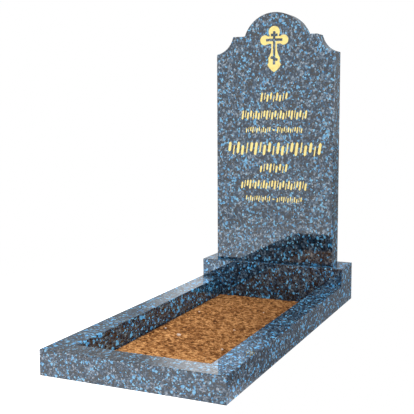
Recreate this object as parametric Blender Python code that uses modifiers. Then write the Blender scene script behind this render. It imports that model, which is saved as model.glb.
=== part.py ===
"""Granite headstone on its plinth, with a kerb around an earth bed.

Metres, +Z up. The origin is on the ground at the middle of the footprint, the headstone's carved
face looks towards -Y, and the kerb lies in front of it. Everything is symmetric about x = 0 but
the carving.
"""
import math

import bmesh
import bpy
from mathutils import Vector

# Footprint: a plinth across the back, and three kerb bars of one section in front of it
SET_WIDTH = 0.600
KERB_RUN = 1.150             # front face of the kerb to the front face of the plinth
KERB_THICK = 0.080
KERB_HEIGHT = 0.080
PLINTH_DEPTH = 0.160
PLINTH_HEIGHT = 0.150
EARTH_DEPTH = 0.006

# Headstone: straight sides, a concave cove and a flat shoulder each side of a round arch
SLAB_WIDTH = 0.500
SLAB_THICK = 0.080
SLAB_HEIGHT = 1.010
ARCH_RISE = 0.091
COVE_RISE = 0.069
COVE_WIDTH = 0.072
COVE_SAG = 0.0156            # depth of the cove's arc under its chord
SHOULDER_WIDTH = 0.051
ARCH_STEPS = 28
COVE_STEPS = 10

# Fits and edges
JOINT = 0.0003               # gap between blocks that touch
ARRIS = 0.0015               # chamfer on the polished edges
ARRIS_MIN_ANGLE = math.radians(25)
SAME_WAY = 0.99              # cosine between a face's normal and a direction that it looks in
WELD = 0.00001
FLAT_ANGLE = math.radians(0.1)

# Carving: an ornamental cross, then rows of short strokes, all sunk to one depth
CARVING_DEPTH = 0.0015
CUTTER_PROUD = 0.001
CROSS_HEIGHT = 0.182
CROSS_DROP = 0.054           # crown of the arch to the top of the cross
ROWS_DROP = 0.080            # foot of the cross to the top of the first row
ROWS_FOOT = 0.248            # bottom of the slab to the bottom of the last row

# The cross's sunk field, in shares of its own height: half widths, and depths from its top
TOP_LOBE_RADIUS = 0.131
NECK_HALF = 0.108
ARM_AXIS = 0.303
ARM_HALF = 0.081
SIDE_LOBE_REACH = 0.2185
SIDE_LOBE_RADIUS = 0.109
SHAFT_HALF = 0.066
SHAFT_FOOT = (SHAFT_HALF, 0.444)
FLARE_CORNER = (0.1346, 0.689)
FLARE_SAG = 0.022
WAIST = (0.1295, 0.758)
WAIST_SAG = 0.010
CUSP = (0.159, 0.831)
LEAF_SAG = 0.020
LOBE_STEPS = 18
SMALL_ARC_STEPS = 6

# The slim cross that stays standing inside the field, in the same shares
BAR_HALF = 0.028
UPRIGHT_TOP = 0.114
UPRIGHT_FOOT = 0.835
LEVEL_BARS = ((0.195, 0.077), (0.301, 0.189))   # depth of the bar's axis, half its length
FOOT_BAR_AXIS = 0.705
FOOT_BAR_HALF = 0.086
FOOT_BAR_TILT = math.radians(22.6)

# Stroke rows: top and height as shares of the rows' field, width as a share of the slab's
# width, and the number of stroke groups in each word
STROKE_ROWS = (
    (0.000, 0.087, 0.238, (3,)),
    (0.160, 0.087, 0.562, (8,)),
    (0.309, 0.058, 0.490, (4, 4)),
    (0.447, 0.126, 0.812, (7,)),
    (0.642, 0.087, 0.244, (3,)),
    (0.796, 0.087, 0.572, (8,)),
    (0.942, 0.058, 0.492, (4, 4)),
)
# Strokes of a group: place across it, foot, head (shares of the row's height) and weight
GROUP_FORMS = (
    ((0.17, 0.00, 1.00, 1.0), (0.50, 0.22, 1.00, 0.5), (0.82, 0.00, 0.82, 1.0)),
    ((0.17, 0.24, 1.00, 1.0), (0.50, 0.00, 0.74, 0.5), (0.82, 0.10, 1.00, 1.0)),
    ((0.17, 0.00, 0.76, 1.0), (0.50, 0.12, 0.94, 0.5), (0.82, 0.26, 1.00, 1.0)),
)
STROKE_WEIGHT = 0.20         # width of a full stroke, as a share of the row's height
STROKE_TAPER = 0.55          # length of its pointed end, as a share of its width
STROKE_TAPER_MOST = 0.45     # and at the most as a share of its length
STROKE_LEAN = 0.14           # sideways lean over the row's height, about its middle
WORD_GAP = 0.9               # gap between two words, in groups
DASH_HALF = 0.22             # half the dash between two words, in groups

# Colours as linear red, green, blue, and how rough each finish is
GRANITE_COLOUR = (0.115, 0.150, 0.200)
GRANITE_ROUGHNESS = 0.12
EARTH_COLOUR = (0.340, 0.160, 0.060)
EARTH_ROUGHNESS = 0.95

# Places that follow from the sizes above
FRONT_Y = -(KERB_RUN + PLINTH_DEPTH) / 2
PLINTH_FRONT_Y = FRONT_Y + KERB_RUN
PLINTH_BACK_Y = PLINTH_FRONT_Y + PLINTH_DEPTH
SLAB_MIDDLE_Y = (PLINTH_FRONT_Y + PLINTH_BACK_Y) / 2
SLAB_FRONT_Y = SLAB_MIDDLE_Y - SLAB_THICK / 2
SLAB_FOOT_Z = PLINTH_HEIGHT + JOINT
SHOULDER_Z = SLAB_HEIGHT - ARCH_RISE
SIDE_Z = SHOULDER_Z - COVE_RISE


def clear_scene():
    for old in list(bpy.data.objects):
        bpy.data.objects.remove(old, do_unlink=True)


def collection(name):
    made = bpy.data.collections.new(name)
    bpy.context.scene.collection.children.link(made)
    return made


def material(name, colour, roughness):
    made = bpy.data.materials.new(name)
    made.use_nodes = True
    shader = made.node_tree.nodes["Principled BSDF"]
    shader.inputs["Base Color"].default_value = (*colour, 1.0)
    shader.inputs["Roughness"].default_value = roughness
    shader.inputs["Metallic"].default_value = 0.0
    made.diffuse_color = (*colour, 1.0)
    return made


def arc(start, end, sag, steps):
    """Points of an arc from start up to, but not at, end; a positive sag bows it right of travel."""
    chord_x, chord_y = end[0] - start[0], end[1] - start[1]
    chord = math.hypot(chord_x, chord_y)
    along = (chord_x / chord, chord_y / chord)
    side = math.copysign(1.0, sag)
    bow = (along[1] * side, -along[0] * side)
    depth = abs(sag)
    radius = chord * chord / (8 * depth) + depth / 2
    half_angle = 2 * math.atan2(2 * depth, chord)
    middle = ((start[0] + end[0]) / 2, (start[1] + end[1]) / 2)
    points = []
    for step in range(steps):
        angle = half_angle * (2 * step / steps - 1)
        run = radius * math.sin(angle)
        rise = radius * (math.cos(angle) - 1) + depth
        points.append((middle[0] + along[0] * run + bow[0] * rise,
                       middle[1] + along[1] * run + bow[1] * rise))
    return points


def circle_arc(centre, radius, start_angle, end_angle, steps):
    """Points on a circle, both ends included. Angles run clockwise from straight up."""
    points = []
    for step in range(steps + 1):
        angle = start_angle + (end_angle - start_angle) * step / steps
        points.append((centre[0] + radius * math.sin(angle), centre[1] - radius * math.cos(angle)))
    return points


def mirrored(points):
    return [(-x, y) for x, y in reversed(points)]


def headstone_outline():
    """The slab's face, clockwise from its lower left corner; x across, y up from its foot."""
    half = SLAB_WIDTH / 2
    cove_top = (-half + COVE_WIDTH, SHOULDER_Z)
    arch_foot = (cove_top[0] + SHOULDER_WIDTH, SHOULDER_Z)
    left = [(-half, 0.0)]
    left += arc((-half, SIDE_Z), cove_top, COVE_SAG, COVE_STEPS)
    left += [cove_top, arch_foot]
    arch = arc(arch_foot, (-arch_foot[0], SHOULDER_Z), -ARCH_RISE, ARCH_STEPS)
    return left + arch[1:] + mirrored(left)


def cross_field():
    """The sunk field around the slim cross: three lobes, a flared shaft and a pointed leaf.

    Here y runs down the cross, so a positive sag bows an arc to the left of its travel.
    """
    neck_angle = math.pi - math.asin(NECK_HALF / TOP_LOBE_RADIUS)
    lobe_angle = math.acos(ARM_HALF / SIDE_LOBE_RADIUS)
    right = circle_arc((0.0, TOP_LOBE_RADIUS), TOP_LOBE_RADIUS, 0.0, neck_angle, LOBE_STEPS // 2)[1:]
    right.append((NECK_HALF, ARM_AXIS - ARM_HALF))
    right += circle_arc((SIDE_LOBE_REACH, ARM_AXIS), SIDE_LOBE_RADIUS,
                        -lobe_angle, math.pi + lobe_angle, LOBE_STEPS)
    right.append((SHAFT_HALF, ARM_AXIS + ARM_HALF))
    right += arc(SHAFT_FOOT, FLARE_CORNER, -FLARE_SAG, SMALL_ARC_STEPS)
    right.append(FLARE_CORNER)
    right += arc(WAIST, CUSP, -WAIST_SAG, SMALL_ARC_STEPS)
    right += arc(CUSP, (0.0, 1.0), LEAF_SAG, SMALL_ARC_STEPS)
    return [(0.0, 0.0)] + right + [(0.0, 1.0)] + mirrored(right)


def slim_cross():
    """The cross left standing: an upright, two level bars and a slanted foot bar."""
    right = [(BAR_HALF, UPRIGHT_TOP)]
    for axis, reach in LEVEL_BARS:
        right += [(BAR_HALF, axis - BAR_HALF), (reach, axis - BAR_HALF),
                  (reach, axis + BAR_HALF), (BAR_HALF, axis + BAR_HALF)]
    sine, cosine = math.sin(FOOT_BAR_TILT), math.cos(FOOT_BAR_TILT)
    end = (FOOT_BAR_HALF * cosine, FOOT_BAR_AXIS + FOOT_BAR_HALF * sine)
    crossing = FOOT_BAR_AXIS + BAR_HALF * math.tan(FOOT_BAR_TILT)
    foot_bar = [(BAR_HALF, crossing - BAR_HALF / cosine),
                (end[0] + BAR_HALF * sine, end[1] - BAR_HALF * cosine),
                (end[0] - BAR_HALF * sine, end[1] + BAR_HALF * cosine),
                (BAR_HALF, crossing + BAR_HALF / cosine)]
    turned = [(-x, 2 * FOOT_BAR_AXIS - y) for x, y in foot_bar]
    foot = [(BAR_HALF, UPRIGHT_FOOT), (-BAR_HALF, UPRIGHT_FOOT)]
    return right + foot_bar + foot + turned + mirrored(right)


def on_slab(ring):
    """A ring in shares of the cross, set on the slab's face under the crown."""
    top = SLAB_HEIGHT - CROSS_DROP
    return [(x * CROSS_HEIGHT, top - y * CROSS_HEIGHT) for x, y in ring]


def stroke(foot, head, width):
    """A straight stroke with a pointed end each way, from foot to head."""
    length = math.hypot(head[0] - foot[0], head[1] - foot[1])
    along = ((head[0] - foot[0]) / length, (head[1] - foot[1]) / length)
    side = (-along[1] * width / 2, along[0] * width / 2)
    taper = min(STROKE_TAPER * width, STROKE_TAPER_MOST * length)
    low = (foot[0] + along[0] * taper, foot[1] + along[1] * taper)
    high = (head[0] - along[0] * taper, head[1] - along[1] * taper)
    return [foot, (low[0] + side[0], low[1] + side[1]), (high[0] + side[0], high[1] + side[1]),
            head, (high[0] - side[0], high[1] - side[1]), (low[0] - side[0], low[1] - side[1])]


def stroke_rows():
    """Rings of every stroke: each group takes the next form, and every stroke leans one way."""
    field_top = SLAB_HEIGHT - CROSS_DROP - CROSS_HEIGHT - ROWS_DROP
    field = field_top - ROWS_FOOT
    rings = []
    form = 0
    for top, tall, wide, words in STROKE_ROWS:
        height = tall * field
        foot_z = field_top - top * field - height
        pitch = wide * SLAB_WIDTH / (sum(words) + WORD_GAP * (len(words) - 1))
        left = -wide * SLAB_WIDTH / 2
        for word, groups in enumerate(words):
            if word:
                middle = left + pitch * WORD_GAP / 2
                dash_z = foot_z + height / 2
                rings.append(stroke((middle - pitch * DASH_HALF, dash_z),
                                    (middle + pitch * DASH_HALF, dash_z),
                                    STROKE_WEIGHT * height))
                left += pitch * WORD_GAP
            for group in range(groups):
                for across, foot, head, weight in GROUP_FORMS[form % len(GROUP_FORMS)]:
                    x = left + (group + across) * pitch
                    lean = STROKE_LEAN * height
                    rings.append(stroke((x + lean * (foot - 0.5), foot_z + foot * height),
                                        (x + lean * (head - 0.5), foot_z + head * height),
                                        weight * STROKE_WEIGHT * height))
                form += 1
            left += groups * pitch
    return rings


def prism(name, rings, low, high, upright, into):
    """Flat rings made a solid from low to high: up from the ground, or back from the face."""
    curve = bpy.data.curves.new(name, "CURVE")
    curve.dimensions = "2D"
    curve.fill_mode = "BOTH"
    curve.extrude = (high - low) / 2
    for ring in rings:
        spline = curve.splines.new("POLY")
        spline.points.add(len(ring) - 1)
        for point, (x, y) in zip(spline.points, ring):
            point.co = (x, y, 0.0, 1.0)
        spline.use_cyclic_u = True
    drawn = bpy.data.objects.new(name, curve)
    into.objects.link(drawn)
    if upright:
        drawn.rotation_euler = (math.pi / 2, 0.0, 0.0)
        drawn.location = (0.0, (low + high) / 2, SLAB_FOOT_Z)
    else:
        drawn.location = (0.0, 0.0, (low + high) / 2)
    bpy.context.view_layer.update()

    evaluated = drawn.evaluated_get(bpy.context.evaluated_depsgraph_get())
    mesh = bpy.data.meshes.new_from_object(evaluated)
    place = drawn.matrix_world.copy()
    bpy.data.objects.remove(drawn, do_unlink=True)
    shape = bmesh.new()
    shape.from_mesh(mesh)
    bmesh.ops.remove_doubles(shape, verts=shape.verts, dist=WELD)
    bmesh.ops.dissolve_limit(shape, angle_limit=FLAT_ANGLE, verts=shape.verts,
                             edges=shape.edges)
    bmesh.ops.recalc_face_normals(shape, faces=shape.faces)
    shape.to_mesh(mesh)
    shape.free()
    mesh.name = name
    made = bpy.data.objects.new(name, mesh)
    made.matrix_world = place
    into.objects.link(made)
    return made


def box(name, low, high, into):
    """An upright block between two corners, begun as a cube primitive."""
    bpy.ops.mesh.primitive_cube_add(size=1.0)
    made = bpy.context.object
    made.name = name
    made.data.name = name
    size = [high[axis] - low[axis] for axis in range(3)]
    for vertex in made.data.vertices:
        vertex.co = [vertex.co[axis] * size[axis] for axis in range(3)]
    made.location = [(low[axis] + high[axis]) / 2 for axis in range(3)]
    for holder in list(made.users_collection):
        holder.objects.unlink(made)
    into.objects.link(made)
    return made


def ease_arrises(block, seated):
    """Chamfer the block's sharp edges, but not those of a face that it seats or joins on."""
    facing = [Vector(direction).normalized() for direction in seated]
    shape = bmesh.new()
    shape.from_mesh(block.data)
    weight = shape.edges.layers.float.new("bevel_weight_edge")
    for edge in shape.edges:
        joined = any(face.normal.dot(direction) > SAME_WAY
                     for face in edge.link_faces for direction in facing)
        if edge.calc_face_angle(0.0) > ARRIS_MIN_ANGLE and not joined:
            edge[weight] = 1.0
    shape.to_mesh(block.data)
    shape.free()
    chamfer = block.modifiers.new("arris", "BEVEL")
    chamfer.limit_method = "WEIGHT"
    chamfer.width = ARRIS
    chamfer.segments = 1


def sink(block, cutter):
    """Sink the cutter's shape into the block."""
    cutter.hide_render = True
    cutter.display_type = "WIRE"
    cut = block.modifiers.new(cutter.name, "BOOLEAN")
    cut.operation = "DIFFERENCE"
    cut.object = cutter


def make_kerb(into):
    """Three bars of one section: mitred at the front corners, butted against the plinth."""
    outer, inner = SET_WIDTH / 2, SET_WIDTH / 2 - KERB_THICK
    inner_front_y = FRONT_Y + KERB_THICK
    back_y = PLINTH_FRONT_Y - JOINT
    mitre_shift = JOINT * math.sqrt(2)
    front_ring = [(-outer, FRONT_Y), (-inner, inner_front_y), (inner, inner_front_y),
                  (outer, FRONT_Y)]
    right_ring = [(outer, FRONT_Y + mitre_shift), (inner, inner_front_y + mitre_shift),
                  (inner, back_y), (outer, back_y)]
    bars = {
        "kerb_front": (front_ring, [(0, 0, -1), (-1, 1, 0), (1, 1, 0)]),
        "kerb_right": (right_ring, [(0, 0, -1), (-1, -1, 0), (0, 1, 0)]),
        "kerb_left": (mirrored(right_ring), [(0, 0, -1), (1, -1, 0), (0, 1, 0)]),
    }
    made = []
    for name, (ring, seated) in bars.items():
        bar = prism(name, [ring], 0.0, KERB_HEIGHT, False, into)
        ease_arrises(bar, seated)
        made.append(bar)
    return made


def make_plinth(into):
    plinth = box("plinth", (-SET_WIDTH / 2, PLINTH_FRONT_Y, 0.0),
                 (SET_WIDTH / 2, PLINTH_BACK_Y, PLINTH_HEIGHT), into)
    ease_arrises(plinth, [(0, 0, -1)])
    return plinth


def make_headstone(into, cutters):
    slab = prism("headstone", [headstone_outline()], SLAB_FRONT_Y, SLAB_FRONT_Y + SLAB_THICK,
                 True, into)
    ease_arrises(slab, [])
    sunk_from, sunk_to = SLAB_FRONT_Y - CUTTER_PROUD, SLAB_FRONT_Y + CARVING_DEPTH
    cross = prism("cross_cutter", [on_slab(cross_field()), on_slab(slim_cross())],
                  sunk_from, sunk_to, True, cutters)
    rows = prism("strokes_cutter", stroke_rows(), sunk_from, sunk_to, True, cutters)
    sink(slab, cross)
    sink(slab, rows)
    return slab


def make_earth(into):
    """The earth bed fills the kerb's opening and stops just short of the stone."""
    half = SET_WIDTH / 2 - KERB_THICK - JOINT
    return box("earth_bed", (-half, FRONT_Y + KERB_THICK + JOINT, 0.0),
               (half, PLINTH_FRONT_Y - JOINT, EARTH_DEPTH), into)


def main():
    clear_scene()
    memorial = collection("granite_headstone")
    cutters = collection("cutters")
    granite = material("granite", GRANITE_COLOUR, GRANITE_ROUGHNESS)
    earth = material("earth", EARTH_COLOUR, EARTH_ROUGHNESS)
    stones = make_kerb(memorial)
    stones.append(make_plinth(memorial))
    stones.append(make_headstone(memorial, cutters))
    for stone in stones:
        stone.data.materials.clear()
        stone.data.materials.append(granite)
    bed = make_earth(memorial)
    bed.data.materials.append(earth)

    whole = bpy.data.objects.new("granite_headstone", None)
    memorial.objects.link(whole)
    for piece in [*stones, bed]:
        piece.parent = whole


main()
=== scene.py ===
import math

import bpy
import numpy as np
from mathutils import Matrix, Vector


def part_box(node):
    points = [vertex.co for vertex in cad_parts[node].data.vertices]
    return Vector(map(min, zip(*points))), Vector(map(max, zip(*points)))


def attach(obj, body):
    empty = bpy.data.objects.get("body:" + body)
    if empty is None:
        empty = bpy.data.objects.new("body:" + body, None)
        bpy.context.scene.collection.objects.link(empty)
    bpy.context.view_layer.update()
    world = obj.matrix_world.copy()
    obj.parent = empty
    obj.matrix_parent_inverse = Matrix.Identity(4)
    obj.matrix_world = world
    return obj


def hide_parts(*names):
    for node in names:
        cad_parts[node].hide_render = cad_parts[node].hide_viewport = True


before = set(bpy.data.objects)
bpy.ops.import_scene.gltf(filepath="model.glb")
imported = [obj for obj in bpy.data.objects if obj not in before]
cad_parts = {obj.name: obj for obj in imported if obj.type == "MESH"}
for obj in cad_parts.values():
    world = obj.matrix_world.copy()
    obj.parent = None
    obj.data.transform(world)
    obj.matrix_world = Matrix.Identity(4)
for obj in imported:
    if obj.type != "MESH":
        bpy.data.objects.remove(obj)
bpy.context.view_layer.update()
slabLow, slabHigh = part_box("headstone")
bedLow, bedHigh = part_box("earth_bed")
print("frame loaded")


# Small helpers for node trees: a value in inputs is a number, or another node's socket
def addNode(tree, kind, inputs=None, **settings):
    made = tree.nodes.new(kind)
    for name, value in settings.items():
        setattr(made, name, value)
    for name, value in (inputs or {}).items():
        if isinstance(value, bpy.types.NodeSocket):
            tree.links.new(value, made.inputs[name])
        else:
            made.inputs[name].default_value = value
    return made


def mathNode(tree, operation, first, second=0.0, clamp=False):
    return addNode(tree, "ShaderNodeMath", {0: first, 1: second},
                   operation=operation, use_clamp=clamp).outputs[0]


# Blend of two colours: factor 0 gives the first and 1 the second
def mixColour(tree, factor, first, second, blend="MIX"):
    made = addNode(tree, "ShaderNodeMix", data_type="RGBA", blend_type=blend)
    for name, value in ((0, factor), (6, first), (7, second)):
        if isinstance(value, bpy.types.NodeSocket):
            tree.links.new(value, made.inputs[name])
        else:
            made.inputs[name].default_value = value if name == 0 else (*value, 1.0)
    return made.outputs[2]


# Straight remap of one range onto another, held at its ends
def remap(tree, value, fromLow, fromHigh, toLow=0.0, toHigh=1.0):
    made = addNode(tree, "ShaderNodeMapRange", {"Value": value, "From Min": fromLow,
                                                "From Max": fromHigh, "To Min": toLow,
                                                "To Max": toHigh})
    return made.outputs["Result"]


def ramp(tree, value, stops):
    made = addNode(tree, "ShaderNodeValToRGB", {"Fac": value})
    band = made.color_ramp
    while len(band.elements) < len(stops):
        band.elements.new(0.5)
    for element, (place, colour) in zip(band.elements, stops):
        element.position = place
        element.color = (*colour, 1.0)
    return made.outputs["Color"]


def newMaterial(name):
    made = bpy.data.materials.new(name)
    made.use_nodes = True
    tree = made.node_tree
    return made, tree, tree.nodes["Principled BSDF"]


# Object coordinates moved by shift, so that each block is cut from its own place in the rock
def objectPlace(tree, shift=(0.0, 0.0, 0.0)):
    coordinates = addNode(tree, "ShaderNodeTexCoord").outputs["Object"]
    return addNode(tree, "ShaderNodeMapping", {"Vector": coordinates,
                                               "Location": shift}).outputs["Vector"]


camera = {
    "place": (1.1020, -2.5220, 0.7830),
    "turnDegrees": (82.919, 0.304, 24.579),
    "lensMm": 69.31,
    "sensorMm": 36.0,
}


def makeCamera():
    data = bpy.data.cameras.new("camera")
    data.lens = camera["lensMm"]
    data.sensor_width = camera["sensorMm"]
    made = bpy.data.objects.new("camera", data)
    made.location = camera["place"]
    made.rotation_euler = [math.radians(angle) for angle in camera["turnDegrees"]]
    bpy.context.scene.collection.objects.link(made)
    bpy.context.scene.camera = made


# Strengths are radiances, and angles are degrees. A rise is above the horizon, and a turn goes
# from +Y, which is behind the set, towards +X.
studio = {
    "frontWall": {"low": 1.46, "high": 0.20, "fade": (6.5, 10.0)},
    "backWall": 0.38,
    "backToFront": (0.2, -0.5),
    "backPanel": {"radiance": 1.30, "left": (29.5, 26.0), "right": (19.0, 23.0),
                  "foot": (10.2, 15.5), "footPart": 0.15},
    "ceiling": {"radiance": 1.0, "fade": (24.0, 50.0)},
    "glows": (
        {"radiance": 0.5, "turn": 180.0, "rise": 40.0, "inner": 10.0, "outer": 35.0},
        {"radiance": 2.5, "turn": 95.0, "rise": 22.0, "inner": 12.0, "outer": 45.0},
        {"radiance": 7.0, "turn": 203.5, "rise": 19.5, "inner": 2.0, "outer": 5.0},
        {"radiance": 6.5, "turn": 205.0, "rise": 13.4, "inner": 1.1, "outer": 1.4},
        {"radiance": 0.09, "turn": 325.5, "rise": 16.5, "inner": 3.0, "outer": 6.0},
    ),
}


def sines(angles):
    return [math.sin(math.radians(angle)) for angle in angles]


# Strength of a round soft patch of light: full within inner degrees of its middle, none past
# outer degrees
def roundGlow(tree, look, radiance, turn, rise, inner, outer):
    turn, rise = math.radians(turn), math.radians(rise)
    middle = (math.sin(turn) * math.cos(rise), math.cos(turn) * math.cos(rise), math.sin(rise))
    nearness = addNode(tree, "ShaderNodeVectorMath", {0: look, 1: middle},
                       operation="DOT_PRODUCT").outputs["Value"]
    return remap(tree, nearness, math.cos(math.radians(outer)), math.cos(math.radians(inner)),
                 0.0, radiance)


# Strength of an upright soft panel behind to the left: its edges are angles from +Y towards -X,
# and its foot fades between two rises
def backPanel(tree, parts, behind):
    panel = studio["backPanel"]
    leastAway = 0.01     # keeps the division finite for a look to the side or to the front
    away = mathNode(tree, "MAXIMUM", parts.outputs["Y"], leastAway)
    leftward = mathNode(tree, "MULTIPLY", mathNode(tree, "DIVIDE", parts.outputs["X"], away), -1.0)
    sides = [remap(tree, leftward, *[math.tan(math.radians(end)) for end in panel[edge]])
             for edge in ("left", "right")]
    foot = remap(tree, parts.outputs["Z"], *sines(panel["foot"]), panel["footPart"], 1.0)
    inside = mathNode(tree, "MULTIPLY", mathNode(tree, "MULTIPLY", *sides), foot)
    return mathNode(tree, "MULTIPLY", mathNode(tree, "MULTIPLY", inside, behind),
                    panel["radiance"])


# White towards the lens. What the stone mirrors is a dimmer room: a wall that is light near the
# ground in front and dark above, a grey wall behind with a soft panel, a bright ceiling, and
# soft round patches: one high in front, one to the right, two low in front to the left, and a
# faint one behind to the left.
def makeWorld():
    world = bpy.data.worlds.new("studio")
    world.use_nodes = True
    tree = world.node_tree
    look = addNode(tree, "ShaderNodeTexCoord").outputs["Generated"]
    parts = addNode(tree, "ShaderNodeSeparateXYZ", {"Vector": look})
    frontWall, top = studio["frontWall"], studio["ceiling"]
    front = remap(tree, parts.outputs["Z"], *sines(frontWall["fade"]),
                  frontWall["low"], frontWall["high"])
    inFront = remap(tree, parts.outputs["Y"], *studio["backToFront"])
    behind = mathNode(tree, "SUBTRACT", 1.0, inFront)
    wall = mathNode(tree, "ADD", mathNode(tree, "MULTIPLY", inFront, front),
                    mathNode(tree, "MULTIPLY", behind, studio["backWall"]))
    ceiling = remap(tree, parts.outputs["Z"], *sines(top["fade"]), 0.0, top["radiance"])
    room = mathNode(tree, "ADD", mathNode(tree, "MAXIMUM", wall, ceiling),
                    backPanel(tree, parts, behind))
    for glow in studio["glows"]:
        room = mathNode(tree, "ADD", room, roundGlow(tree, look, **glow))

    seen = addNode(tree, "ShaderNodeLightPath").outputs["Is Camera Ray"]
    tree.links.new(mathNode(tree, "MAXIMUM", seen, room),
                   tree.nodes["Background"].inputs["Strength"])
    tree.nodes["Background"].inputs["Color"].default_value = (1.0, 1.0, 1.0, 1.0)
    bpy.context.scene.world = world


backLamp = {
    "radiance": 19.0,
    "place": (-0.90, 3.20, 4.80),
    "aim": (0.0, 0.0, 0.4),
    "size": 1.8,
}


# One lamp high behind the slab, a little to its left, aimed at the middle of the set. The
# polish doesn't mirror it, or a white disk would lie on the tops in other views. A flat disk's
# power is its radiance times pi times its area.
def makeBackLamp():
    data = bpy.data.lights.new("backLamp", "AREA")
    data.shape = "DISK"
    data.size = backLamp["size"]
    data.energy = backLamp["radiance"] * math.pi * math.pi * (backLamp["size"] / 2) ** 2
    made = bpy.data.objects.new("backLamp", data)
    made.visible_glossy = False
    made.location = backLamp["place"]
    across, along, up = np.subtract(backLamp["aim"], backLamp["place"])
    made.rotation_euler = (math.atan2(math.hypot(across, along), -up), 0.0,
                           math.atan2(-across, along))
    bpy.context.scene.collection.objects.link(made)


# Metres from the middle of the set, and the paper's strengths as the stone mirrors them
paper = {
    "half": 14.0,
    "drop": 0.0005,
    "front": 1.85,
    "right": 0.25,
    "rightFade": (0.17, 0.45),
    "slant": {"from": -0.65, "slope": 0.5},
    "far": 0.80,
    "farFade": (-1.9, -0.9),
    "left": 0.30,
    "leftFade": (-0.9, -1.5),
    "leftBehind": (-2.2, -1.3),
}


# Paper that is white towards the lens. In the stone it is bright before the set, dimmer to the
# right of a slanting line, a little dimmer far in front, and dimmer far to the left.
def makeFloor():
    half = paper["half"]
    mesh = bpy.data.meshes.new("floor")
    mesh.from_pydata([(-half, -half, 0), (half, -half, 0), (half, half, 0), (-half, half, 0)],
                     [], [(0, 1, 2, 3)])
    floor = bpy.data.objects.new("floor", mesh)
    floor.location = (0.0, 0.0, -paper["drop"])
    bpy.context.scene.collection.objects.link(floor)
    made, tree, shader = newMaterial("floor_paper")
    shader.inputs["Base Color"].default_value = (0.0, 0.0, 0.0, 1.0)
    shader.inputs["Roughness"].default_value = 1.0
    shader.inputs["Specular IOR Level"].default_value = 0.0
    place = addNode(tree, "ShaderNodeSeparateXYZ", {"Vector": objectPlace(tree)}).outputs
    slant = paper["slant"]
    aslant = mathNode(tree, "MULTIPLY", mathNode(tree, "SUBTRACT", place["Y"], slant["from"]),
                      slant["slope"])
    rightward = mathNode(tree, "ADD", place["X"], aslant)
    glow = remap(tree, rightward, *paper["rightFade"], paper["front"], paper["right"])
    glow = mathNode(tree, "MULTIPLY", glow,
                    remap(tree, place["Y"], *paper["farFade"], paper["far"], 1.0))
    farLeft = mathNode(tree, "MULTIPLY", remap(tree, place["X"], *paper["leftFade"]),
                       remap(tree, place["Y"], *paper["leftBehind"]))
    glow = mathNode(tree, "MULTIPLY", glow,
                    remap(tree, farLeft, 0.0, 1.0, 1.0, paper["left"]))
    seen = addNode(tree, "ShaderNodeLightPath").outputs["Is Camera Ray"]
    tree.links.new(mathNode(tree, "MAXIMUM", seen, glow), shader.inputs["Emission Strength"])
    shader.inputs["Emission Color"].default_value = (1.0, 1.0, 1.0, 1.0)
    mesh.materials.append(made)


makeCamera()
makeWorld()
makeFloor()
makeBackLamp()
bpy.context.scene.view_settings.view_transform = "Standard"
print("camera, floor and light set")


granite = {
    "crystalSize": 0.0098,
    "grainSize": 0.0050,
    "ragged": {"reach": 0.0036, "scale": 130.0},
    "crystalPart": 0.45,
    "toneSpan": (0.12, 0.88),
    "tones": ((0.00, (0.002, 0.004, 0.007)), (0.25, (0.005, 0.018, 0.040)),
              (0.50, (0.041, 0.076, 0.122)), (0.72, (0.100, 0.150, 0.208)),
              (0.90, (0.184, 0.238, 0.298)), (1.00, (0.290, 0.352, 0.415))),
    "grainGlint": {"from": 0.15, "to": 0.45, "most": 0.45},
    "micaShare": 0.15,
    "mica": (0.012, 0.008, 0.006),
    "deepAzure": (0.020, 0.208, 0.475),
    "paleAzure": (0.215, 0.545, 0.790),
    "fleckShare": 0.060,
    "smallFleckShare": 0.062,
    "fleckGlint": 0.05,
    "roughness": (0.006, 0.022),
    "ior": 1.71,
    "relief": {"metres": 0.000008, "strength": 0.3},
}


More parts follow.
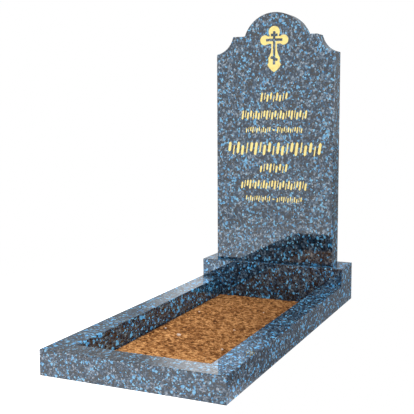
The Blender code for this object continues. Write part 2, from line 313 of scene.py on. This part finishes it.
# Polished blue-flecked granite. Voronoi cells with borders that a noise makes ragged are the
# crystals, and finer cells are the grains in them. Each takes its tone from its own random
# value, some grains are brown mica, and some crystals and grains are azure feldspar. A grey
# grain glints partly like a metal, the darkest ones less, while the azure hardly glints and
# the mica doesn't. A squeeze below 1 draws the crystals out along that axis, and one above 1
# makes them finer. The tint multiplies the colours, and it is painted light and shade: it
# darkens the front kerb, which the floor lights strongly, and makes the other blocks bluer or
# brighter to even out what each block mirrors and how much light it gets.
def graniteMaterial(name, shift, squeeze, paintedLightTint):
    made, tree, shader = newMaterial(name)
    place = addNode(tree, "ShaderNodeVectorMath", {0: objectPlace(tree, shift), 1: squeeze},
                    operation="MULTIPLY").outputs[0]
    border = granite["ragged"]
    wobble = addNode(tree, "ShaderNodeTexNoise", {"Vector": place, "Scale": border["scale"],
                                                  "Detail": 3.0})
    centred = addNode(tree, "ShaderNodeVectorMath", {0: wobble.outputs["Color"],
                                                     1: (0.5, 0.5, 0.5)}, operation="SUBTRACT")
    scaled = addNode(tree, "ShaderNodeVectorMath", {0: centred.outputs[0],
                                                    "Scale": border["reach"] * 2},
                     operation="SCALE")
    ragged = addNode(tree, "ShaderNodeVectorMath", {0: place, 1: scaled.outputs[0]},
                     operation="ADD").outputs[0]
    crystals = addNode(tree, "ShaderNodeTexVoronoi",
                       {"Vector": ragged, "Scale": 1 / granite["crystalSize"]})
    grains = addNode(tree, "ShaderNodeTexVoronoi",
                     {"Vector": ragged, "Scale": 1 / granite["grainSize"]})
    crystal = addNode(tree, "ShaderNodeSeparateColor", {"Color": crystals.outputs["Color"]})
    grain = addNode(tree, "ShaderNodeSeparateColor", {"Color": grains.outputs["Color"]})

    part = granite["crystalPart"]
    tone = mathNode(tree, "ADD", mathNode(tree, "MULTIPLY", crystal.outputs[0], part),
                    mathNode(tree, "MULTIPLY", grain.outputs[0], 1 - part))
    colour = ramp(tree, remap(tree, tone, *granite["toneSpan"]), granite["tones"])
    isMica = mathNode(tree, "LESS_THAN", grain.outputs[1], granite["micaShare"])
    colour = mixColour(tree, isMica, colour, granite["mica"])

    big = mathNode(tree, "LESS_THAN", crystal.outputs[1], granite["fleckShare"])
    small = mathNode(tree, "GREATER_THAN", grain.outputs[1], 1 - granite["smallFleckShare"])
    isFleck = mathNode(tree, "MAXIMUM", big, small)
    azure = mixColour(tree, grain.outputs[2], granite["deepAzure"], granite["paleAzure"])
    colour = mixColour(tree, isFleck, colour, azure)
    # Painted light and shade: the block's tint multiplies its colours
    tree.links.new(mixColour(tree, 1.0, colour, paintedLightTint, "MULTIPLY"), shader.inputs["Base Color"])
    glint = granite["grainGlint"]
    ground = mathNode(tree, "MULTIPLY", mathNode(tree, "SUBTRACT", 1.0, isMica),
                      remap(tree, tone, glint["from"], glint["to"], 0.0, glint["most"]))
    tree.links.new(remap(tree, isFleck, 0.0, 1.0, ground, granite["fleckGlint"]),
                   shader.inputs["Metallic"])

    tree.links.new(remap(tree, grain.outputs[2], 0.0, 1.0, *granite["roughness"]),
                   shader.inputs["Roughness"])
    relief = addNode(tree, "ShaderNodeBump", {"Height": grains.outputs["Distance"],
                                              "Distance": granite["relief"]["metres"],
                                              "Strength": granite["relief"]["strength"]})
    tree.links.new(relief.outputs["Normal"], shader.inputs["Normal"])
    shader.inputs["IOR"].default_value = granite["ior"]
    return made


def setMaterial(piece, material):
    piece.data.materials.clear()
    piece.data.materials.append(material)


# Each block's tint is painted light and shade: the front kerb is darker because the floor lights
# it strongly, and the plinth and side kerbs are bluer or brighter to even out what they mirror and
# how they are lit
blockCuts = {
    "headstone": {"shift": (0.0, 0.0, 0.0), "squeeze": (1.0, 1.0, 0.85),
                  "paintedLightTint": (1.0, 1.0, 1.0)},
    "plinth": {"shift": (3.1, 1.7, 0.4), "squeeze": (1.1, 1.1, 0.9),
               "paintedLightTint": (1.00, 1.20, 1.32)},
    "kerb_front": {"shift": (5.3, 2.9, 1.1), "squeeze": (1.30, 1.1, 1.4),
                   "paintedLightTint": (0.88, 0.82, 0.81)},
    "kerb_left": {"shift": (7.7, 4.1, 2.3), "squeeze": (1.0, 0.75, 0.95),
                  "paintedLightTint": (0.76, 1.06, 1.18)},
    "kerb_right": {"shift": (9.2, 6.3, 3.7), "squeeze": (1.15, 0.95, 1.1),
                   "paintedLightTint": (1.05, 1.12, 1.20)},
}

slabShading = {
    "weldMetres": 0.00001,
    "sharpDegrees": 20.0,
}


# The slab is shown by a welded copy of its own mesh, so that its arch and coves shade as curves.
# Corners that round to the same place are one point, and triangles that close up are left out.
def makeSlab():
    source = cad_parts["headstone"].data
    corners = np.empty(len(source.vertices) * 3, np.float32)
    source.vertices.foreach_get("co", corners)
    corners = corners.reshape(-1, 3)
    triangles = np.empty(len(source.loops), np.int32)
    source.loops.foreach_get("vertex_index", triangles)
    keys = np.round(corners / slabShading["weldMetres"]).astype(np.int64)
    _, first, merged = np.unique(keys, axis=0, return_index=True, return_inverse=True)
    faces = merged.ravel()[triangles].reshape(-1, 3)
    whole = (faces[:, 0] != faces[:, 1]) & (faces[:, 1] != faces[:, 2]) \
        & (faces[:, 2] != faces[:, 0])
    mesh = bpy.data.meshes.new("polished_slab")
    mesh.from_pydata(corners[first].tolist(), [], faces[whole].tolist())
    mesh.shade_smooth()
    mesh.set_sharp_from_angle(angle=math.radians(slabShading["sharpDegrees"]))
    slab = bpy.data.objects.new("polished_slab", mesh)
    bpy.context.scene.collection.objects.link(slab)
    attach(slab, "root")
    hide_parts("headstone")
    return slab, corners[first], faces[whole]


slab, slabPoints, slabFaces = makeSlab()
for blockName, cut in blockCuts.items():
    block = slab if blockName == "headstone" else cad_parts[blockName]
    setMaterial(block, graniteMaterial("granite_" + blockName, **cut))
print("granite blocks finished")


gilding = {
    "lift": 0.00005,
    "thickness": 0.0010,
    "wallGap": 0.00012,
    "colour": (0.965, 0.790, 0.300),
    "wornColour": (0.86, 0.66, 0.22),
    "cloud": {"scale": 90.0, "wornFrom": (0.55, 0.75), "roughFrom": (0.3, 0.7)},
    "roughness": (0.30, 0.48),
    "metallic": 0.55,
    "brushed": {"scale": 700.0, "metres": 0.0001, "strength": 0.25},
    "crossReach": 0.25,
    "floorFacing": 0.99,
    "floorDepth": (0.0005, 0.02),
}


def gildingMaterial():
    made, tree, shader = newMaterial("gilding")
    place = objectPlace(tree)
    patch, brush = gilding["cloud"], gilding["brushed"]
    cloud = addNode(tree, "ShaderNodeTexNoise", {"Vector": place, "Scale": patch["scale"],
                                                 "Detail": 4.0}).outputs["Fac"]
    colour = mixColour(tree, remap(tree, cloud, *patch["wornFrom"]),
                       gilding["colour"], gilding["wornColour"])
    tree.links.new(colour, shader.inputs["Base Color"])
    tree.links.new(remap(tree, cloud, *patch["roughFrom"], *gilding["roughness"]),
                   shader.inputs["Roughness"])
    shader.inputs["Metallic"].default_value = gilding["metallic"]
    brushed = addNode(tree, "ShaderNodeTexNoise", {"Vector": place, "Scale": brush["scale"],
                                                   "Detail": 2.0})
    relief = addNode(tree, "ShaderNodeBump", {"Height": brushed.outputs["Fac"],
                                              "Distance": brush["metres"],
                                              "Strength": brush["strength"]})
    tree.links.new(relief.outputs["Normal"], shader.inputs["Normal"])
    return made


# Gold laid on the carving's floors: the floor triangles are lifted by the paint's thickness,
# drawn in from the walls, and closed with a strip along every border edge. An edge is on the
# border if no triangle runs along it the other way, and each border point is drawn in along the
# mean of its border edges' inward directions.
def makeGilding(name, floorFaces, material):
    used, corner = np.unique(floorFaces, return_inverse=True)
    corner = corner.reshape(-1, 3)
    floor = slabPoints[used].astype(float)
    count = len(used)
    directed = np.concatenate([corner[:, [0, 1]], corner[:, [1, 2]], corner[:, [2, 0]]])
    forward = directed[:, 0].astype(np.int64) * count + directed[:, 1]
    backward = directed[:, 1].astype(np.int64) * count + directed[:, 0]
    border = directed[~np.isin(forward, backward)]
    along = floor[border[:, 1]] - floor[border[:, 0]]
    along /= np.linalg.norm(along, axis=1)[:, None]
    sideways = np.stack([along[:, 2], np.zeros(len(along)), -along[:, 0]], axis=1)
    triangle = floor[corner]
    turn = np.cross(triangle[:, 1] - triangle[:, 0], triangle[:, 2] - triangle[:, 0])[:, 1].sum()
    if turn < 0:
        sideways = -sideways
    inward = np.zeros_like(floor)
    np.add.at(inward, border[:, 0], sideways)
    np.add.at(inward, border[:, 1], sideways)
    length = np.linalg.norm(inward, axis=1)
    inward /= np.where(length > 0, length, 1.0)[:, None]
    drawn = floor + inward * gilding["wallGap"] * (length > 0)[:, None]
    base = drawn - (0.0, gilding["lift"], 0.0)
    top = drawn - (0.0, gilding["thickness"], 0.0)
    strip = np.stack([border[:, 1], border[:, 0], border[:, 0] + count, border[:, 1] + count],
                     axis=1)
    points = np.concatenate([base, top])
    polygons = corner[:, ::-1].tolist() + (corner + count).tolist() + strip.tolist()
    mesh = bpy.data.meshes.new(name)
    mesh.from_pydata(points.tolist(), [], polygons)
    mesh.materials.append(material)
    piece = bpy.data.objects.new(name, mesh)
    bpy.context.scene.collection.objects.link(piece)
    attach(piece, "root")
    return piece


# The carving's floors are the slab's faces that look forward from behind its front plane
def carvedFloors():
    triangle = slabPoints[slabFaces]
    normal = np.cross(triangle[:, 1] - triangle[:, 0], triangle[:, 2] - triangle[:, 0])
    leastLength = 1e-12     # keeps the division finite for a triangle without area
    normal /= np.maximum(np.linalg.norm(normal, axis=1), leastLength)[:, None]
    depth = triangle[:, :, 1].mean(axis=1) - slabLow.y
    least, most = gilding["floorDepth"]
    floors = (normal[:, 1] < -gilding["floorFacing"]) & (depth > least) & (depth < most)
    ofCross = triangle[:, :, 2].mean(axis=1) > slabHigh.z - gilding["crossReach"]
    return slabFaces[floors & ofCross], slabFaces[floors & ~ofCross]


gold = gildingMaterial()
crossFloors, strokeFloors = carvedFloors()
makeGilding("gilded_cross", crossFloors, gold)
makeGilding("gilded_strokes", strokeFloors, gold)
print("gilding laid:", len(crossFloors), "and", len(strokeFloors), "triangles")


earth = {
    "cell": 0.0024,
    "level": 0.0020,
    "least": 0.0006,
    "swell": {"size": 0.090, "tall": 0.0004},
    "clods": ({"size": 0.016, "tall": 0.0036}, {"size": 0.0075, "tall": 0.0044}),
    "clodReach": (0.50, 0.90),
    "clodRise": (0.25, 1.0),
    "clodPower": 0.7,
    "ragged": {"reach": 0.0050, "size": 0.011},
    "rim": {"width": 0.014, "height": 0.0028, "power": 0.5},
    "sharpDegrees": 60.0,
    "seed": 11,
    # Painted shade and highlight by height: over this span of heights the colour runs from the
    # dark hollow towards the pale crest
    "shadeByHeight": {"span": (0.0015, 0.0070), "from": 0.10, "to": 0.62},
    "streaks": {"stretch": (70.0, 120.0, 100.0), "span": (0.32, 0.68), "weight": 0.50},
    "patches": {"scale": 7.0, "span": (0.35, 0.65), "weight": 0.06},
    # A paler strip along the front kerb
    "paleFront": {"span": (-0.350, -0.270), "weight": 0.13},
    # The hollow colour is painted shade and the crest colour a painted highlight; the pebbles'
    # dust takes the crest colour
    "shadedHollow": (0.072, 0.021, 0.004),
    "body": (0.300, 0.119, 0.032),
    "crestHighlightAndDust": (0.720, 0.370, 0.140),
    "stops": (0.05, 0.45, 0.95),
    "roughness": 0.95,
    "specular": 0.25,
    "fine": {"scale": 380.0, "metres": 0.0025, "strength": 0.9},
}


# Smooth noise on a grid: random values at knots one size apart, joined by smooth steps
def gridNoise(random, xs, ys, size):
    across, along = xs / size, ys / size
    knots = random.standard_normal((int(along.max()) + 3, int(across.max()) + 3))
    i, j = along.astype(int), across.astype(int)
    u, v = along - i, across - j
    u, v = u * u * (3 - 2 * u), v * v * (3 - 2 * v)
    near = knots[i, j] * (1 - v) + knots[i, j + 1] * v
    far = knots[i + 1, j] * (1 - v) + knots[i + 1, j + 1] * v
    return near * (1 - u) + far * u


# Clods: each square of a grid holds one dome of random place, reach and height, and a point
# takes the highest dome of its own square and the eight around it. A dome's height falls with
# the square of the distance from its middle, raised to a power below one.
def clodHeights(random, xs, ys, size, tall):
    rows, columns = int(ys.max() / size) + 4, int(xs.max() / size) + 4
    shiftY, shiftX = random.random((2, rows, columns))
    reach = random.uniform(*earth["clodReach"], (rows, columns)) * size
    rise = random.uniform(*earth["clodRise"], (rows, columns)) * tall
    row, column = (ys / size).astype(int) + 1, (xs / size).astype(int) + 1
    highest = np.zeros_like(xs)
    for i in (row - 1, row, row + 1):
        for j in (column - 1, column, column + 1):
            away = np.hypot(xs - (j - 1 + shiftX[i, j]) * size,
                            ys - (i - 1 + shiftY[i, j]) * size) / reach[i, j]
            dome = rise[i, j] * np.clip(1 - away * away, 0.0, None) ** earth["clodPower"]
            highest = np.maximum(highest, dome)
    return highest


# Painted shade and highlight: the colour follows the height, dark in the hollows where shade
# falls and pale on the crests where light falls, with streaks and broad patches of noise added
# for tone. The earth along the front kerb is paler than the rest, and a piece's own shade lift
# makes its low parts paler.
def earthMaterial(name, shadeLift=0.0):
    made, tree, shader = newMaterial(name)
    place = objectPlace(tree)
    parts = addNode(tree, "ShaderNodeSeparateXYZ", {"Vector": place}).outputs
    heights, front = earth["shadeByHeight"], earth["paleFront"]
    # Painted shade and highlight: low points take the dark hollow colour and high points the pale
    # crest colour
    shadeAndTone = remap(tree, parts["Z"], *heights["span"], shadeLift + heights["from"], heights["to"])

    streaks, patches = earth["streaks"], earth["patches"]
    drawn = addNode(tree, "ShaderNodeVectorMath", {0: place, 1: streaks["stretch"]},
                    operation="MULTIPLY").outputs[0]
    streakNoise = addNode(tree, "ShaderNodeTexNoise", {"Vector": drawn, "Scale": 1.0,
                                                       "Detail": 4.0, "Roughness": 0.60})
    patchNoise = addNode(tree, "ShaderNodeTexNoise", {"Vector": place, "Scale": patches["scale"],
                                                      "Detail": 3.0})
    for noise, values in ((streakNoise, streaks), (patchNoise, patches)):
        added = remap(tree, noise.outputs["Fac"], *values["span"],
                      -values["weight"], values["weight"])
        shadeAndTone = mathNode(tree, "ADD", shadeAndTone, added)
    # Paler along the front kerb
    shadeAndTone = mathNode(tree, "ADD", shadeAndTone, remap(tree, parts["Y"], *front["span"],
                                           front["weight"], 0.0), clamp=True)
    colours = (earth["shadedHollow"], earth["body"], earth["crestHighlightAndDust"])
    tree.links.new(ramp(tree, shadeAndTone, tuple(zip(earth["stops"], colours))),
                   shader.inputs["Base Color"])
    shader.inputs["Roughness"].default_value = earth["roughness"]
    shader.inputs["Specular IOR Level"].default_value = earth["specular"]
    fine = addNode(tree, "ShaderNodeTexNoise", {"Vector": place, "Scale": earth["fine"]["scale"],
                                                "Detail": 5.0, "Roughness": 0.7})
    relief = addNode(tree, "ShaderNodeBump", {"Height": fine.outputs["Fac"],
                                              "Distance": earth["fine"]["metres"],
                                              "Strength": earth["fine"]["strength"]})
    tree.links.new(relief.outputs["Normal"], shader.inputs["Normal"])
    return made


def finishPiece(name, points, polygons, material):
    mesh = bpy.data.meshes.new(name)
    mesh.from_pydata(np.asarray(points).tolist(), [], polygons)
    mesh.materials.append(material)
    mesh.shade_smooth()
    piece = bpy.data.objects.new(name, mesh)
    bpy.context.scene.collection.objects.link(piece)
    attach(piece, "root")
    return piece


# The bed's surface is a height over a grid, closed by walls and a bottom on the ground. The
# height is the level, a swell and two sizes of clods with ragged outlines, and it eases to the
# rim's height along the stone.
def makeEarth():
    width, length = bedHigh.x - bedLow.x, bedHigh.y - bedLow.y
    columns, rows = round(width / earth["cell"]), round(length / earth["cell"])
    xs, ys = np.meshgrid(np.linspace(0, width, columns + 1), np.linspace(0, length, rows + 1))
    random = np.random.default_rng(earth["seed"])
    ragged, swell, rim = earth["ragged"], earth["swell"], earth["rim"]
    bentX = xs + ragged["reach"] * np.tanh(gridNoise(random, xs, ys, ragged["size"]))
    bentY = ys + ragged["reach"] * np.tanh(gridNoise(random, xs, ys, ragged["size"]))
    bentX, bentY = np.clip(bentX, 0, width), np.clip(bentY, 0, length)
    top = earth["level"] + swell["tall"] * gridNoise(random, xs, ys, swell["size"])
    for clod in earth["clods"]:
        top = top + clodHeights(random, bentX, bentY, **clod)
    inset = np.minimum(np.minimum(xs, width - xs), np.minimum(ys, length - ys))
    clearOfRim = np.clip(inset / rim["width"], 0.0, 1.0) ** rim["power"]
    top = np.maximum(rim["height"] * (1 - clearOfRim) + top * clearOfRim, earth["least"])

    surface = np.stack([xs + bedLow.x, ys + bedLow.y, top], axis=-1).reshape(-1, 3)
    index = np.arange(surface.shape[0]).reshape(rows + 1, columns + 1)
    quads = np.stack([index[:-1, :-1], index[:-1, 1:], index[1:, 1:], index[1:, :-1]],
                     axis=-1).reshape(-1, 4)
    edge = np.concatenate([index[0, :-1], index[:-1, -1], index[-1, :0:-1], index[:0:-1, 0]])
    foot = surface[edge] * (1.0, 1.0, 0.0)
    under = len(surface) + np.arange(len(edge))
    walls = np.stack([edge, under, np.roll(under, -1), np.roll(edge, -1)], axis=-1)
    piece = finishPiece("earth_surface", np.concatenate([surface, foot]),
                        quads.tolist() + walls.tolist() + [under[::-1].tolist()],
                        earthMaterial("earth"))
    piece.data.set_sharp_from_angle(angle=math.radians(earth["sharpDegrees"]))
    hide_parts("earth_bed")
    return random, surface.reshape(rows + 1, columns + 1, 3)


lumpShape = {
    "squash": ((0.8, 0.8, 0.55), (1.25, 1.25, 0.85)),
    "rough": (0.82, 1.12),
    "lift": 0.25,
    "lowest": 0.0002,
}


# Loose lumps: a small icosahedron each, squashed, turned about the upright and roughened, and
# partly sunk where it lies on the bed. No point goes below the ground.
def makeLumps(name, random, centre, size, material):
    golden = (1 + math.sqrt(5)) / 2
    corner = np.array([(-1, golden, 0), (1, golden, 0), (-1, -golden, 0), (1, -golden, 0),
                       (0, -1, golden), (0, 1, golden), (0, -1, -golden), (0, 1, -golden),
                       (golden, 0, -1), (golden, 0, 1), (-golden, 0, -1), (-golden, 0, 1)])
    corner /= np.linalg.norm(corner[0])
    face = np.array([(0, 11, 5), (0, 5, 1), (0, 1, 7), (0, 7, 10), (0, 10, 11), (1, 5, 9),
                     (5, 11, 4), (11, 10, 2), (10, 7, 6), (7, 1, 8), (3, 9, 4), (3, 4, 2),
                     (3, 2, 6), (3, 6, 8), (3, 8, 9), (4, 9, 5), (2, 4, 11), (6, 2, 10),
                     (8, 6, 7), (9, 8, 1)])
    count = len(size)
    squash = random.uniform(*lumpShape["squash"], (count, 3))
    turn = random.uniform(0, 2 * math.pi, count)
    rough = random.uniform(*lumpShape["rough"], (count, len(corner), 1))
    lump = corner * rough * (squash * size[:, None])[:, None, :]
    cosine, sine = np.cos(turn)[:, None], np.sin(turn)[:, None]
    turned = np.stack([lump[..., 0] * cosine - lump[..., 1] * sine,
                       lump[..., 0] * sine + lump[..., 1] * cosine, lump[..., 2]], axis=-1)
    lifted = centre + np.stack([0 * size, 0 * size, lumpShape["lift"] * size], axis=-1)
    points = (turned + lifted[:, None, :]).reshape(-1, 3)
    points[:, 2] = np.maximum(points[:, 2], lumpShape["lowest"])
    faces = face[None] + np.arange(count)[:, None, None] * len(corner)
    return finishPiece(name, points, faces.reshape(-1, 3).tolist(), material)


crumbs = {
    "count": 900,
    "radius": (0.0012, 0.0040),
    "smallness": 2.5,
    "marginCells": 4,
    # Lifts the painted shade, so the crumbs' low parts are paler
    "shadeLift": 0.25,
}


# Crumbs lie anywhere but at the bed's border, and many are small for each large one
def makeCrumbs(random, surface):
    count, (least, most) = crumbs["count"], crumbs["radius"]
    margin = crumbs["marginCells"]
    row = random.integers(margin, surface.shape[0] - margin, count)
    column = random.integers(margin, surface.shape[1] - margin, count)
    size = least + (most - least) * random.random(count) ** crumbs["smallness"]
    makeLumps("earth_crumbs", random, surface[row, column], size,
              earthMaterial("earth_crumb", crumbs["shadeLift"]))


pebbles = {
    "stones": ({"place": (-0.103, -0.133), "radius": 0.0075},
               {"place": (-0.186, -0.072), "radius": 0.0040},
               {"place": (0.102, -0.229), "radius": 0.0045},
               {"place": (0.053, -0.011), "radius": 0.0034},
               {"place": (-0.175, 0.186), "radius": 0.0038},
               {"place": (0.060, 0.270), "radius": 0.0030},
               {"place": (0.170, -0.430), "radius": 0.0034}),
    "colour": (0.92, 0.91, 0.88),
    "cloud": {"scale": 400.0, "dustyFrom": (0.35, 0.7)},
    "roughness": 0.6,
}


def pebbleMaterial():
    made, tree, shader = newMaterial("pale_pebble")
    patch = pebbles["cloud"]
    cloud = addNode(tree, "ShaderNodeTexNoise", {"Vector": objectPlace(tree),
                                                 "Scale": patch["scale"],
                                                 "Detail": 4.0}).outputs["Fac"]
    colour = mixColour(tree, remap(tree, cloud, *patch["dustyFrom"]), pebbles["colour"],
                       # Dust on the pebbles takes the earth's pale crest colour
                       earth["crestHighlightAndDust"])
    tree.links.new(colour, shader.inputs["Base Color"])
    shader.inputs["Roughness"].default_value = pebbles["roughness"]
    return made


# Each pebble lies on the point of the surface that is nearest to its place
def makePebbles(random, surface):
    places = np.array([stone["place"] for stone in pebbles["stones"]])
    size = np.array([stone["radius"] for stone in pebbles["stones"]])
    across, along = surface[0, 1, 0] - surface[0, 0, 0], surface[1, 0, 1] - surface[0, 0, 1]
    column = np.round((places[:, 0] - surface[0, 0, 0]) / across).astype(int)
    row = np.round((places[:, 1] - surface[0, 0, 1]) / along).astype(int)
    makeLumps("pale_pebbles", random, surface[row, column], size, pebbleMaterial())


earthDraws, bedSurface = makeEarth()
makeCrumbs(earthDraws, bedSurface)
makePebbles(earthDraws, bedSurface)
print("earth bed finished")
